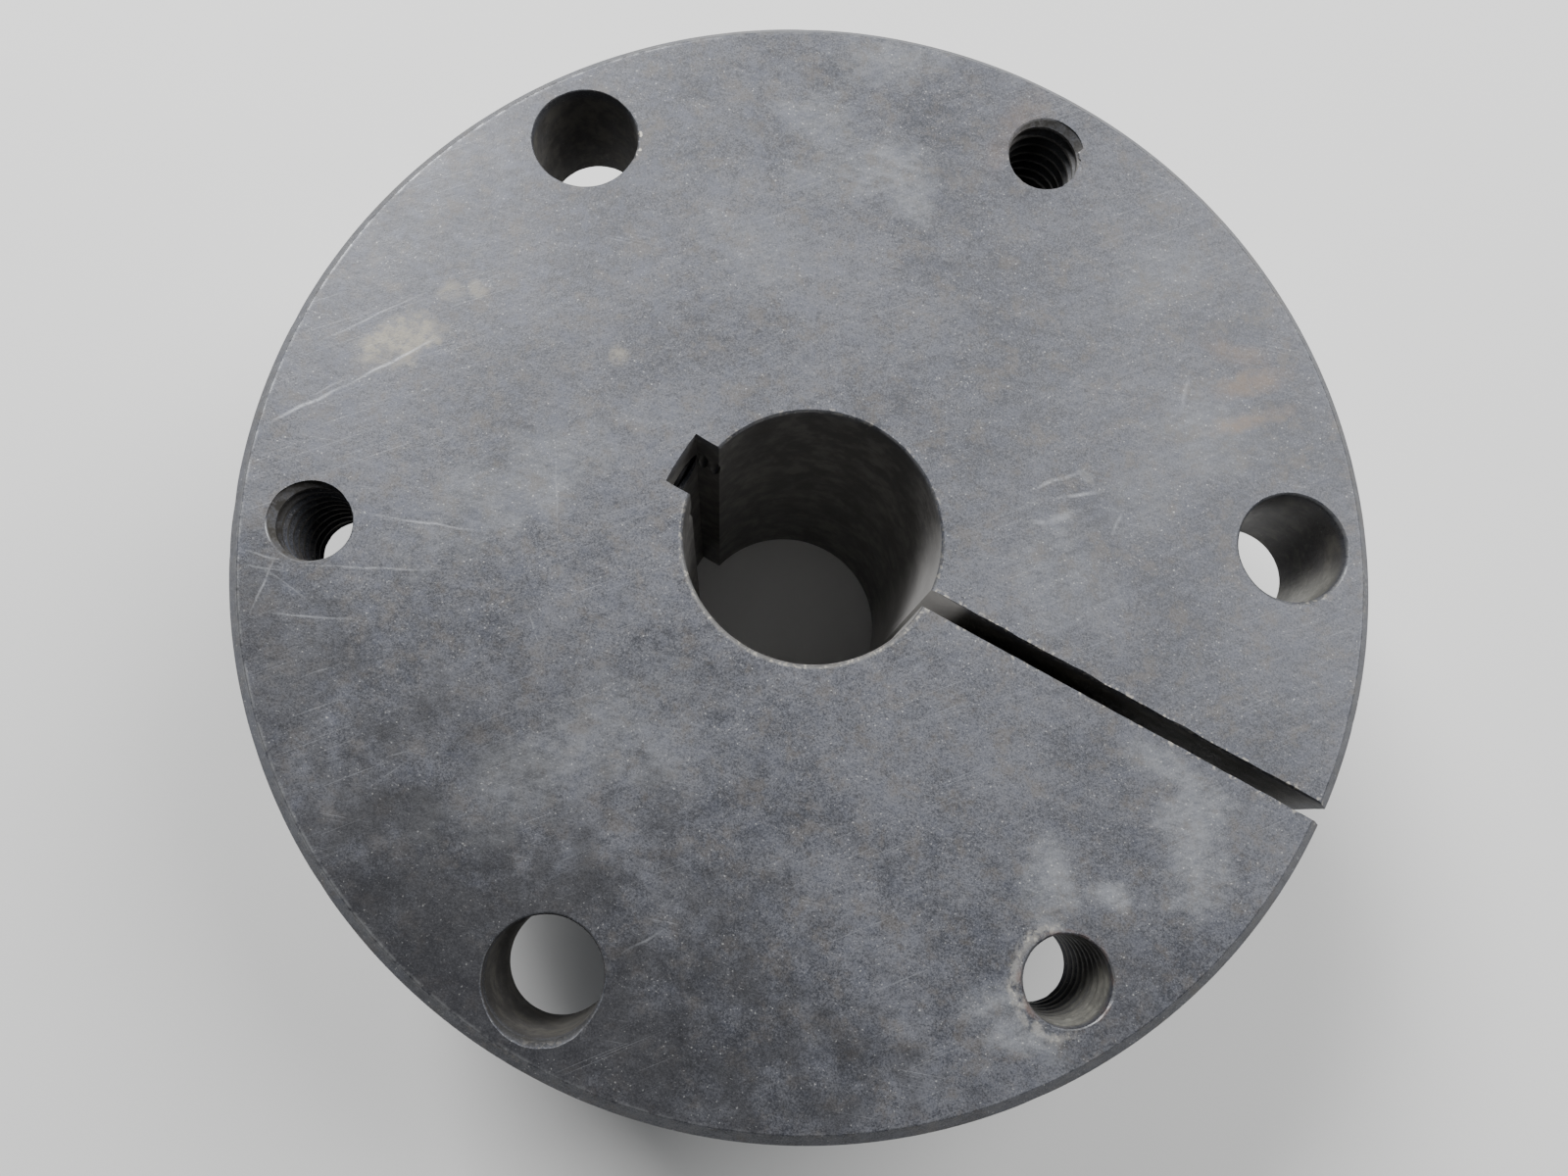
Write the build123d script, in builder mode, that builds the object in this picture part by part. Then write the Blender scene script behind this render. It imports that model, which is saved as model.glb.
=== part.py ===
from build123d import *

import os
from math import sqrt

# A split taper bushing, which holds a V-belt pulley on its shaft, and the set screw that bears on
# the shaft key. It stands on the small end of its taper with the flange face up. The origin is on the
# bore's axis in that small end face. The keyway is on -X, and the split is on +X.

INCH = 25.4

# Flange and tapered barrel
overall_length = 1.9375 * INCH
flange_diameter = 3.875 * INCH
flange_thickness = 13.5
taper_large_diameter = 2.8125 * INCH  # where the barrel meets the flange
taper_ratio = 0.75 / 12  # change of diameter per unit of length
rim_chamfer = 1.0
back_chamfer = 0.8
small_end_chamfer = 1.5
barrel_root_fillet = 0.8  # between the barrel and the flange's back face

# Bore, keyway and split
bore_diameter = 0.875 * INCH
bore_chamfer = 0.5
keyway_width = 0.1875 * INCH
keyway_depth = keyway_width / 2  # below the chord where the keyway meets the bore
split_width = INCH / 16
split_angle = 2.0  # degrees from +X: the saw cut is a little off the keyway's opposite

# Holes through the flange, on one bolt circle: plain ones for the cap screws, and tapped ones
# between them for the screws that jack the bushing off its taper
bolt_circle = 3.3125 * INCH
holes_of_each_kind = 3
clearance_diameter = 0.375 * INCH
clearance_first_angle = 30
clearance_edge_chamfer = 0.3
tapped_diameter = 0.257 * INCH  # the wall left by a 5/16-18 thread
tapped_first_angle = 90
tapped_mouth_diameter = 0.27 * INCH
countersink_angle = 90

# Key set screw, 1/4-20 by 1/2 in, in a hole from the rim to the keyway's floor
screw_thread_diameter = 0.25 * INCH
screw_running_clearance = 0.05
screw_length = 0.5 * INCH
screw_end_chamfer = 0.6
screw_tip_setback = 0.5  # from the keyway's floor to the screw's point
cup_diameter = 3.3
cup_depth = 0.9
socket_across_flats = 0.125 * INCH
socket_depth = 4.0

# Heights and radii that follow from these
flange_back = overall_length - flange_thickness
bore_radius = bore_diameter / 2
flange_radius = flange_diameter / 2
taper_large_radius = taper_large_diameter / 2
taper_small_radius = taper_large_radius - flange_back * taper_ratio / 2
keyway_floor = sqrt(bore_radius**2 - (keyway_width / 2) ** 2) + keyway_depth
bolt_circle_radius = bolt_circle / 2
screw_height = overall_length - flange_thickness / 2


with BuildPart() as split_bushing:
    # Flange and barrel, turned about the bore's axis
    with BuildSketch(Plane.XZ):
        with BuildLine():
            Polyline(
                (bore_radius, bore_chamfer),
                (bore_radius + bore_chamfer, 0),
                (taper_small_radius - small_end_chamfer, 0),
                (taper_small_radius, small_end_chamfer),
                (taper_large_radius, flange_back),
                (flange_radius - back_chamfer, flange_back),
                (flange_radius, flange_back + back_chamfer),
                (flange_radius, overall_length - rim_chamfer),
                (flange_radius - rim_chamfer, overall_length),
                (bore_radius + bore_chamfer, overall_length),
                (bore_radius, overall_length - bore_chamfer),
                close=True,
            )
        make_face()
        barrel_root = vertices().sort_by_distance((taper_large_radius, flange_back, 0))[0]
        fillet(barrel_root, barrel_root_fillet)
    revolve(axis=Axis.Z)

    # Keyway, all the way through the bore
    with BuildSketch(Plane.XY):
        Rectangle(keyway_floor, keyway_width, align=(Align.MAX, Align.CENTER))
    extrude(amount=overall_length, mode=Mode.SUBTRACT)

    # Split, from the bore out through barrel and flange
    with BuildSketch(Plane.XY.rotated((0, 0, split_angle))):
        Rectangle(2 * flange_radius, split_width, align=(Align.MIN, Align.CENTER))
    extrude(amount=overall_length, mode=Mode.SUBTRACT)

    # Cap screw holes, and the jacking holes with a countersink at each mouth
    with Locations(Plane.XY.offset(overall_length)):
        with PolarLocations(bolt_circle_radius, holes_of_each_kind, start_angle=clearance_first_angle):
            CounterSinkHole(
                radius=clearance_diameter / 2,
                counter_sink_radius=clearance_diameter / 2 + clearance_edge_chamfer,
                depth=flange_thickness,
                counter_sink_angle=countersink_angle,
            )
        with PolarLocations(bolt_circle_radius, holes_of_each_kind, start_angle=tapped_first_angle):
            CounterSinkHole(
                radius=tapped_diameter / 2,
                counter_sink_radius=tapped_mouth_diameter / 2,
                depth=flange_thickness,
                counter_sink_angle=countersink_angle,
            )

    # Set screw hole, from the rim in to the keyway
    with BuildSketch(Plane(origin=(0, 0, screw_height), x_dir=(0, 1, 0), z_dir=(-1, 0, 0))):
        Circle(screw_thread_diameter / 2)
    extrude(amount=flange_radius, mode=Mode.SUBTRACT)

split_bushing.part.label = "split_bushing"


# The screw stands on its point, which faces the keyway, and its socket faces the rim.
screw_radius = screw_thread_diameter / 2 - screw_running_clearance
screw_point = Plane(
    origin=(-keyway_floor - screw_tip_setback, 0, screw_height), x_dir=(0, 1, 0), z_dir=(-1, 0, 0)
)

with BuildPart() as key_set_screw:
    with BuildSketch(screw_point):
        Circle(screw_radius)
    extrude(amount=screw_length)
    chamfer(key_set_screw.edges(), screw_end_chamfer)

    # Cup point
    with BuildSketch(screw_point):
        Circle(cup_diameter / 2)
    extrude(amount=cup_depth, taper=45, mode=Mode.SUBTRACT)

    # Hexagon socket
    with BuildSketch(screw_point.offset(screw_length)):
        RegularPolygon(socket_across_flats / 2, 6, major_radius=False)
    extrude(amount=-socket_depth, mode=Mode.SUBTRACT)

key_set_screw.part.label = "key_set_screw"


os.makedirs("parts", exist_ok=True)
export_step(split_bushing.part, "parts/split_bushing.step")
export_step(key_set_screw.part, "parts/key_set_screw.step")
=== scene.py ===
"""A split taper bushing and its key set screw, standing on the small end of its taper.

The bushing is machined here as the real one is: a turned blank, then the bore, keyway, saw cut,
drilled holes and tapped holes are cut from it. Shapes are worked out in millimetres in the CAD's
frame, and each finished mesh is scaled to metres. +Z is the bore's axis, the keyway is on -X and
the split is on +X.
"""

from math import atan2, ceil, cos, degrees, exp, floor, hypot, pi, radians, sin, sqrt, tan

import bmesh
import bpy
from mathutils import Euler, Matrix, Vector, noise


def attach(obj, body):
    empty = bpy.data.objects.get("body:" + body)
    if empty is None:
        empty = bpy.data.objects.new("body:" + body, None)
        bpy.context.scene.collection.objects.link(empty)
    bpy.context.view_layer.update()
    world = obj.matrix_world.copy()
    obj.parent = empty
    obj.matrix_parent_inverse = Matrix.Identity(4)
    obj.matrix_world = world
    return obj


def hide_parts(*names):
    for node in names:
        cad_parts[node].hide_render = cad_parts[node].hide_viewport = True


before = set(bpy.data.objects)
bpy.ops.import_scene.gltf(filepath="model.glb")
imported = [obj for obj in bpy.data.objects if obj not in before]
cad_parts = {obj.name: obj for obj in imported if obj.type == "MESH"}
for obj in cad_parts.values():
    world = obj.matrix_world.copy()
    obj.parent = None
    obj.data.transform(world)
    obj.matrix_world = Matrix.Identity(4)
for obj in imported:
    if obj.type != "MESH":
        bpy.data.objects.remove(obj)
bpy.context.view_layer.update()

MM = 0.001

# ---------------------------------------------------------------------------------------------
# The bushing's dimensions in millimetres, the same as in the CAD source
# ---------------------------------------------------------------------------------------------
INCH = 25.4
TOP = 1.9375 * INCH
FLANGE_R = 3.875 * INCH / 2
FLANGE_THICKNESS = 13.5
FLANGE_BACK = TOP - FLANGE_THICKNESS
RIM_CHAMFER = 1.0
BACK_CHAMFER = 0.8
SKIN = 0.02  # the rim stays this far inside the CAD's, whose facets are flatter
TAPER_R = 2.8125 * INCH / 2
TAPER_SLOPE = 0.75 / 12 / 2
BARREL_FOOT_R = TAPER_R - FLANGE_BACK * TAPER_SLOPE
FOOT_CHAMFER = 1.5
CORE_R = 3.0  # where the blank's flat ends begin, well inside the bore
BORE_R = 0.875 * INCH / 2
KEY_HALF = 0.1875 * INCH / 2
KEY_FLOOR = sqrt(BORE_R**2 - KEY_HALF**2) + KEY_HALF
SPLIT_HALF = INCH / 32
SPLIT_ANGLE = 2.0
BOLT_R = 3.3125 * INCH / 2
PLAIN_R = 0.375 * INCH / 2
PLAIN_ANGLES = (30, 150, 270)
TAPPED_ANGLES = (90, 210, 330)
JACK_MAJOR = 0.3125 * INCH / 2
JACK_MINOR = 0.257 * INCH / 2
JACK_PITCH = INCH / 18
SCREW_PITCH = INCH / 20
SCREW_HEIGHT = TOP - FLANGE_THICKNESS / 2
SCREW_TIP = KEY_FLOOR + 0.5
SCREW_END = SCREW_TIP + 0.5 * INCH
SOCKET_HALF = 0.125 * INCH / 2
SOCKET_DEPTH = 4.0
SCREW_CREST = 3.11
SCREW_ROOT = 2.46
THREAD_GAP = 0.06


def polar(radius, angle):
    """A point in the plane at this radius and angle in degrees."""
    return radius * cos(radians(angle)), radius * sin(radians(angle))


def grain(x, y, z, size):
    """Smooth noise from about -1 to 1, whose bumps are about `size` millimetres across."""
    return noise.noise(Vector((x / size, y / size, z / size)))


def hump(offset, width):
    """A bell curve, 1 at no offset."""
    return exp(-(offset / width) ** 2)


def turn(angle, centre):
    """The signed difference between two angles, in degrees."""
    return (angle - centre + 180) % 360 - 180


# ---------------------------------------------------------------------------------------------
# Solids from rings
# ---------------------------------------------------------------------------------------------
def solid_object(name, points, faces):
    mesh = bpy.data.meshes.new(name)
    mesh.from_pydata(points, [], faces)
    shape = bmesh.new()
    shape.from_mesh(mesh)
    bmesh.ops.remove_doubles(shape, verts=shape.verts, dist=1e-5)
    bmesh.ops.recalc_face_normals(shape, faces=shape.faces)
    shape.to_mesh(mesh)
    shape.free()
    solid = bpy.data.objects.new(name, mesh)
    bpy.context.scene.collection.objects.link(solid)
    return solid


def stacked(name, rings, place=None):
    """A solid through closed rings of the same number of points, capped at both ends."""
    count = len(rings[0])
    points = [tuple(place @ Vector(p)) if place else tuple(p) for ring in rings for p in ring]
    faces = [tuple(reversed(range(count)))]
    for level in range(len(rings) - 1):
        first = level * count
        for i in range(count):
            j = (i + 1) % count
            faces.append((first + i, first + j, first + count + j, first + count + i))
    faces.append(tuple(range(len(points) - count, len(points))))
    return solid_object(name, points, faces)


def rounded_outline(corners):
    """Rounds the corners (r, z, rounding radius, steps) of a lathe outline."""
    outline = []
    for k, (r, z, radius, steps) in enumerate(corners):
        corner = Vector((r, z))
        if not radius:
            outline.append((r, z))
            continue
        before = (Vector(corners[k - 1][:2]) - corner).normalized()
        after = (Vector(corners[k + 1][:2]) - corner).normalized()
        reach = radius / tan(before.angle(after) / 2)
        start, end = corner + before * reach, corner + after * reach
        for i in range(steps + 1):
            t = i / steps
            point = start * (1 - t) ** 2 + corner * 2 * t * (1 - t) + end * t**2
            outline.append(tuple(point))
    return outline


def spread(outline, longest):
    """Divides an outline's long runs, so that wear and waviness have points to act on."""
    points = [outline[0]]
    for (r0, z0), (r1, z1) in zip(outline, outline[1:]):
        steps = max(1, ceil(hypot(r1 - r0, z1 - z0) / longest))
        points += [(r0 + (r1 - r0) * i / steps, z0 + (z1 - z0) * i / steps)
                   for i in range(1, steps + 1)]
    return points


# Nicks in the flange's rim: angle in degrees, whether on the top edge, width and depth in mm
RIM_NICKS = (
    (208, True, 1.1, 0.30), (213, True, 0.6, 0.16), (247, True, 0.8, 0.20), (188, True, 0.7, 0.18),
    (121, True, 0.6, 0.14), (322, True, 0.9, 0.20), (12, True, 0.6, 0.16), (74, True, 0.5, 0.12),
    (35, False, 1.0, 0.25), (160, False, 0.9, 0.22), (265, False, 1.3, 0.30),
    (305, False, 0.7, 0.2),
)


def rim_wear(angle, r, z):
    """How far a point near the flange's edges is worn inwards."""
    x, y = polar(r, angle)
    worn = 0.0
    for edge_z, is_top in ((TOP, True), (FLANGE_BACK, False)):
        away = hypot(r - FLANGE_R, z - edge_z)
        near = hump(away, 1.3)
        worn += near * (0.035 + 0.015 * grain(x, y, z, 2.2) + 0.03 * grain(x, y, z, 14))
        for nick_angle, on_top, width, depth in RIM_NICKS:
            if on_top == is_top:
                along = radians(turn(angle, nick_angle)) * FLANGE_R
                worn += hump(away, 0.8) * depth * hump(along, width)
    return max(worn, 0.0)


def turned_blank():
    """The bushing before anything is cut into it."""
    corners = [
        (CORE_R, 0, 0, 0), (BARREL_FOOT_R - FOOT_CHAMFER, 0, 0.3, 3),
        (BARREL_FOOT_R + FOOT_CHAMFER * TAPER_SLOPE, FOOT_CHAMFER, 0.4, 3),
        (TAPER_R, FLANGE_BACK, 0.8, 5),
        (FLANGE_R - BACK_CHAMFER, FLANGE_BACK, 0.25, 3),
        (FLANGE_R, FLANGE_BACK + BACK_CHAMFER, 0.25, 3),
        (FLANGE_R, TOP - RIM_CHAMFER, 0.3, 4), (FLANGE_R - RIM_CHAMFER, TOP, 0.25, 3),
        (CORE_R, TOP, 0, 0),
    ]
    outline = spread(rounded_outline(corners), 2.6)
    sides = 480
    rings = []
    for r, z in outline:
        ring = []
        for i in range(sides):
            angle = 360 * i / sides
            worn = rim_wear(angle, r, z)
            lift = worn * 0.7 if z > (TOP + FLANGE_BACK) / 2 else -worn * 0.7
            x, y = polar(r * (1 - SKIN / FLANGE_R) - worn * 0.7, angle)
            ring.append((x, y, z - lift))
        rings.append(ring)
    return stacked("blank", rings)


# ---------------------------------------------------------------------------------------------
# Cutters
# ---------------------------------------------------------------------------------------------
def cutter_heights(z_low, z_high, depths, step):
    """A cutter's rows: close together at these depths below each face, `step` apart between them,
    and one past each face."""
    deepest = depths[-1]
    middle = z_high - z_low - 2 * deepest
    count = max(2, int(middle / step))
    return ([z_low - 1] + [z_low + depth for depth in depths]
            + [z_low + deepest + middle * i / count for i in range(1, count)]
            + [z_high - depth for depth in reversed(depths)] + [z_high + 1])


def drill(name, centre, radius, sides, z_low, z_high, top_mouth, low_mouth, waviness):
    """A plain hole's cutter. Each mouth is a function of the angle and the depth from its face."""
    rings = []
    for z in cutter_heights(z_low, z_high, (0.0, 0.06, 0.13, 0.22, 0.34, 0.5, 0.7, 0.95, 1.3), 1.6):
        ring = []
        for i in range(sides):
            angle = 360 * i / sides
            upper = z > (z_low + z_high) / 2
            flare = top_mouth(angle, z_high - z) if upper else low_mouth(angle, z - z_low)
            x, y = polar(radius, angle)
            r = radius + flare + waviness * grain(x + 7, y, z, 2.5)
            x, y = polar(r, angle)
            ring.append((centre[0] + x, centre[1] + y, z))
        rings.append(ring)
    return stacked(name, rings)


def soft_mouth(width, chips=(), roughness=0.03, seed=0.0):
    """A mouth worn round over `width`, with chips (angle, angular width, extra width)."""
    def flare(angle, depth):
        reach = width
        for chip_angle, spread_angle, extra in chips:
            reach += extra * hump(turn(angle, chip_angle), spread_angle)
        x, y = polar(5, angle)
        reach += roughness * (grain(x + seed, y, 0, 1.1) + 0.6 * grain(x + seed, y, 0, 0.45))
        reach = max(reach, 0.05)
        if depth <= 0:
            return reach - 0.6 * depth
        return reach * max(0.0, 1 - depth / (1.35 * reach)) ** 1.7
    return flare


def slot(name, x_near, x_far, half_width, z_low, z_high, spin, rough, step, flare_top, saw=0.0):
    """A straight slot's cutter along +X, turned by `spin` degrees about Z. Its walls wander by
    `rough`, carry saw marks `saw` deep, and open by `flare_top` at both faces."""
    count = max(4, int((x_far - x_near) / step))
    xs = [x_near + (x_far - x_near) * i / count for i in range(count + 1)]
    across = 4

    def wall(x, z, side):
        """The wall's offset from its plane."""
        depth = min(z_high - z, z - z_low)
        uneven = 1 + 0.8 * grain(x, side * 9, 3, 1.6)
        opened = flare_top * uneven * max(0.0, 1 - depth / 0.35) ** 1.6
        ragged = 0.05 * grain(x, side * 5, z, 0.9) * max(0.0, 1 - depth / 0.8)
        cut = saw * grain(x * 0.12 + z * 0.05, side * 3, z + 0.4 * x, 0.7)
        return half_width + rough * grain(x, side * 20, z, 2.4) + max(opened, 0) + ragged + cut

    place = Matrix.Rotation(radians(spin), 4, "Z")
    rings = []
    for z in cutter_heights(z_low, z_high, (0.0, 0.08, 0.18, 0.32, 0.55, 0.9), step * 0.9):
        ring = [(x, -wall(x, z, -1), z) for x in xs]
        low, high = -wall(x_far, z, -1), wall(x_far, z, 1)
        for i in range(1, across):
            y = low + (high - low) * i / across
            depth = min(z_high - z, z - z_low)
            opened = flare_top * max(0.0, 1 - depth / 0.35) ** 1.6
            ring.append((x_far + opened + rough * 1.5 * grain(x_far, y, z, 1.3), y, z))
        ring += [(x, wall(x, z, 1), z) for x in reversed(xs)]
        rings.append(ring)
    return stacked(name, rings, place)


# One thread's form along its axis: part of a pitch, and how far up from root to crest of the groove
THREAD_FORM = ((0.0, 1.0), (0.125, 1.0), (0.28125, 0.5), (0.4375, 0.0), (0.5625, 0.0), (0.6875, 0.0),
               (0.84375, 0.5))


def threaded(name, inner, outer, pitch, start, low, high, end_r, sides, shape=None, place=None):
    """A right-hand threaded rod about Z. `start` is where its crest crosses angle 0, and `shape`
    may change a point's radius from its angle and height. Rows above or below the ends close on
    a ring of radius `end_r` there."""
    n = len(THREAD_FORM)
    first_turn = floor((low - start) / pitch) - 2
    last_turn = ceil((high - start) / pitch) + 2
    rows = (last_turn - first_turn) * n
    points = []
    for i in range(sides):
        angle = 360 * i / sides
        for row in range(rows):
            part, rise = THREAD_FORM[row % n]
            z = start + (first_turn + row // n + part + i / sides) * pitch
            r = inner + (outer - inner) * rise
            if z <= low or z >= high:
                z, r = (low, end_r) if z <= low else (high, end_r)
            elif shape:
                r = shape(angle, z, r)
            x, y = polar(r, angle)
            point = Vector((x, y, z))
            points.append(tuple(place @ point) if place else tuple(point))
    faces = [tuple(i * rows for i in reversed(range(sides)))]
    for i in range(sides):
        last = i == sides - 1
        other = 0 if last else (i + 1) * rows
        skip = n if last else 0
        for row in range(rows - 1 - skip):
            a = i * rows + row
            b = other + row + skip
            faces.append((a, b, b + 1, a + 1))
    faces.append(tuple(i * rows + rows - 1 for i in range(sides)))
    return solid_object(name, points, faces)


def jack_tap(angle, runs_out, shape=None, minor=JACK_MINOR, major=JACK_MAJOR):
    """A tapped hole's cutter. Its groove leaves the face at the angle `runs_out`."""
    x, y = polar(BOLT_R, angle)
    start = TOP - JACK_PITCH * runs_out / 360
    return threaded(f"tap_{angle}", minor, major, JACK_PITCH, start, FLANGE_BACK - 1.0, TOP + 1.0,
                    minor, 88, shape, Matrix.Translation((x, y, 0)))


def machine(blank, cutters, name):
    """Subtracts the cutters and returns a smooth-shaded object in metres."""
    for cutter in cutters:
        step = blank.modifiers.new(cutter.name, "BOOLEAN")
        step.operation = "DIFFERENCE"
        step.solver = "MANIFOLD"
        step.object = cutter
    bpy.context.view_layer.update()
    graph = bpy.context.evaluated_depsgraph_get()
    mesh = bpy.data.meshes.new_from_object(blank.evaluated_get(graph))
    for used in [blank, *cutters]:
        bpy.data.objects.remove(used, do_unlink=True)
    return finished(mesh, name)


def finished(mesh, name):
    """Triangles in metres, smooth-shaded with sharp edges kept."""
    mesh.name = name
    shape = bmesh.new()
    shape.from_mesh(mesh)
    bmesh.ops.triangulate(shape, faces=shape.faces)
    bmesh.ops.scale(shape, vec=(MM, MM, MM), verts=shape.verts)
    shape.to_mesh(mesh)
    shape.free()
    mesh.shade_smooth()
    mesh.set_sharp_from_angle(angle=radians(32))
    piece = bpy.data.objects.new(name, mesh)
    bpy.context.scene.collection.objects.link(piece)
    weigh = piece.modifiers.new("weighted_normals", "WEIGHTED_NORMAL")
    weigh.keep_sharp = True
    weigh.weight = 60
    return piece


# The set screw's own frame: along -X at its height. Its rod and its hole's thread match side for side
SET_SCREW_SIDES = 56
SET_SCREW_PLACE = (Matrix.Translation((0, 0, SCREW_HEIGHT))
                   @ Matrix(((0, 0, -1, 0), (1, 0, 0, 0), (0, -1, 0, 0), (0, 0, 0, 1))))


def bushing_cutters():
    """Everything that is cut from the blank."""
    bore_mouth = soft_mouth(0.20, ((300, 25, 0.10), (20, 12, 0.08)), 0.03, 11)
    cutters = [
        drill("bore", (0, 0), BORE_R, 240, 0, TOP, bore_mouth, soft_mouth(0.42, (), 0.03, 4), 0.006),
        slot("keyway", 2.0, KEY_FLOOR, KEY_HALF, 0, TOP, 180, 0.03, 0.8, 0.10),
        slot("split", 3.0, FLANGE_R + 2, SPLIT_HALF - 0.03, 0, TOP, SPLIT_ANGLE, 0.02, 0.75, 0.10,
             0.035),
    ]

    # The cap screw holes' mouths: one soft all round, one sharp with chips, one worn on a side
    mouths = {
        30: soft_mouth(0.22, ((300, 40, 0.12), (215, 20, 0.05)), 0.03, 1),
        150: soft_mouth(0.08, ((36, 4, 0.16), (22, 3, 0.16), (10, 3, 0.12), (50, 5, 0.08)), 0.03, 2),
        270: soft_mouth(0.22, ((290, 42, 0.42), (325, 20, 0.15)), 0.05, 3),
    }
    for angle in PLAIN_ANGLES:
        cutters.append(drill(f"plain_{angle}", polar(BOLT_R, angle), PLAIN_R, 120, FLANGE_BACK, TOP,
                             mouths[angle], soft_mouth(0.3, (), 0.04, angle), 0.02))

    # The tapped holes' threads leave the face at different turns, as the tap happened to enter
    def broken_start(angle, z, r):
        """The first thread's feather edge covers its groove past where it broke off."""
        broke_at = 40 + 6 * grain(angle * 0.1, z, 0, 0.3)
        if z > TOP - 0.16 and -110 < turn(angle, broke_at) < 0:
            return min(r, JACK_MINOR)
        return r

    def stripped(angle, z, r):
        """A thread worn nearly smooth at the face and less so at the back."""
        up = min(max((z - FLANGE_BACK) / (TOP - FLANGE_BACK), 0.0), 1.0)
        return JACK_MINOR + 0.1 + 0.30 * up + (r - JACK_MINOR - 0.1) * (0.62 - 0.50 * up)

    cutters += [jack_tap(90, 113, broken_start), jack_tap(210, 218),
                jack_tap(330, 40, stripped, JACK_MINOR + 0.1, JACK_MAJOR - 0.1)]
    lead_ins = {
        90: soft_mouth(0.10, ((54, 5, 0.15), (120, 30, 0.05)), 0.05, 5),
        210: soft_mouth(0.12, ((10, 10, 0.08),), 0.05, 6),
        330: soft_mouth(0.60, ((200, 50, 0.10), (20, 30, 0.08)), 0.07, 7),
    }
    for angle in TAPPED_ANGLES:
        cutters.append(drill(f"lead_in_{angle}", polar(BOLT_R, angle), JACK_MINOR - 0.05, 96,
                             FLANGE_BACK, TOP, lead_ins[angle], soft_mouth(0.3, (), 0.05, angle),
                             0.02))

    root, crest = SCREW_ROOT + THREAD_GAP, SCREW_CREST + THREAD_GAP
    cutters.append(threaded("set_screw_tap", root, crest, SCREW_PITCH, SCREW_TIP, BORE_R - 1.0,
                            FLANGE_R + 0.6, root, SET_SCREW_SIDES, None, SET_SCREW_PLACE))
    return cutters


def make_bushing():
    return machine(turned_blank(), bushing_cutters(), "bushing_body")


def make_set_screw():
    """A hexagon socket set screw with a cup point."""
    tip_r, end_r = 2.1, 2.45

    def chamfered(angle, z, r):
        """Ends cut back at 45 degrees."""
        return min(r, tip_r + (z - SCREW_TIP), end_r + (SCREW_END - z))

    rod = threaded("rod", SCREW_ROOT, SCREW_CREST, SCREW_PITCH, SCREW_TIP, SCREW_TIP, SCREW_END,
                   tip_r, SET_SCREW_SIDES, chamfered, SET_SCREW_PLACE)
    cup = stacked("cup", [[(*polar(r, 360 * i / 48), z) for i in range(48)] for r, z in
                          ((1.75, SCREW_TIP - 0.2), (1.65, SCREW_TIP), (0.75, SCREW_TIP + 0.8),
                           (0.3, SCREW_TIP + 1.0))], SET_SCREW_PLACE)
    corner = SOCKET_HALF / cos(radians(30))
    hexagon = []
    for depth, size in ((SOCKET_DEPTH, 0.985), (0.25, 1.0), (0.0, 1.06), (-0.5, 1.2)):
        ring = []
        for side in range(6):
            a, b = polar(corner * size, 60 * side), polar(corner * size, 60 * side + 60)
            ring += [(a[0] + (b[0] - a[0]) * t / 5, a[1] + (b[1] - a[1]) * t / 5, SCREW_END - depth)
                     for t in range(5)]
        hexagon.append(ring)
    socket = stacked("socket", hexagon, SET_SCREW_PLACE)
    return machine(rod, [cup, socket], "set_screw_body")


# ---------------------------------------------------------------------------------------------
# Material graphs
# ---------------------------------------------------------------------------------------------
class Field:
    """A shader value. Arithmetic on it adds Math nodes."""

    def __init__(self, graph, socket):
        self.graph, self.socket = graph, socket

    def __add__(self, other): return self.graph.math("ADD", self, other)
    def __radd__(self, other): return self.graph.math("ADD", other, self)
    def __sub__(self, other): return self.graph.math("SUBTRACT", self, other)
    def __rsub__(self, other): return self.graph.math("SUBTRACT", other, self)
    def __mul__(self, other): return self.graph.math("MULTIPLY", self, other)
    def __rmul__(self, other): return self.graph.math("MULTIPLY", other, self)


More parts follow.
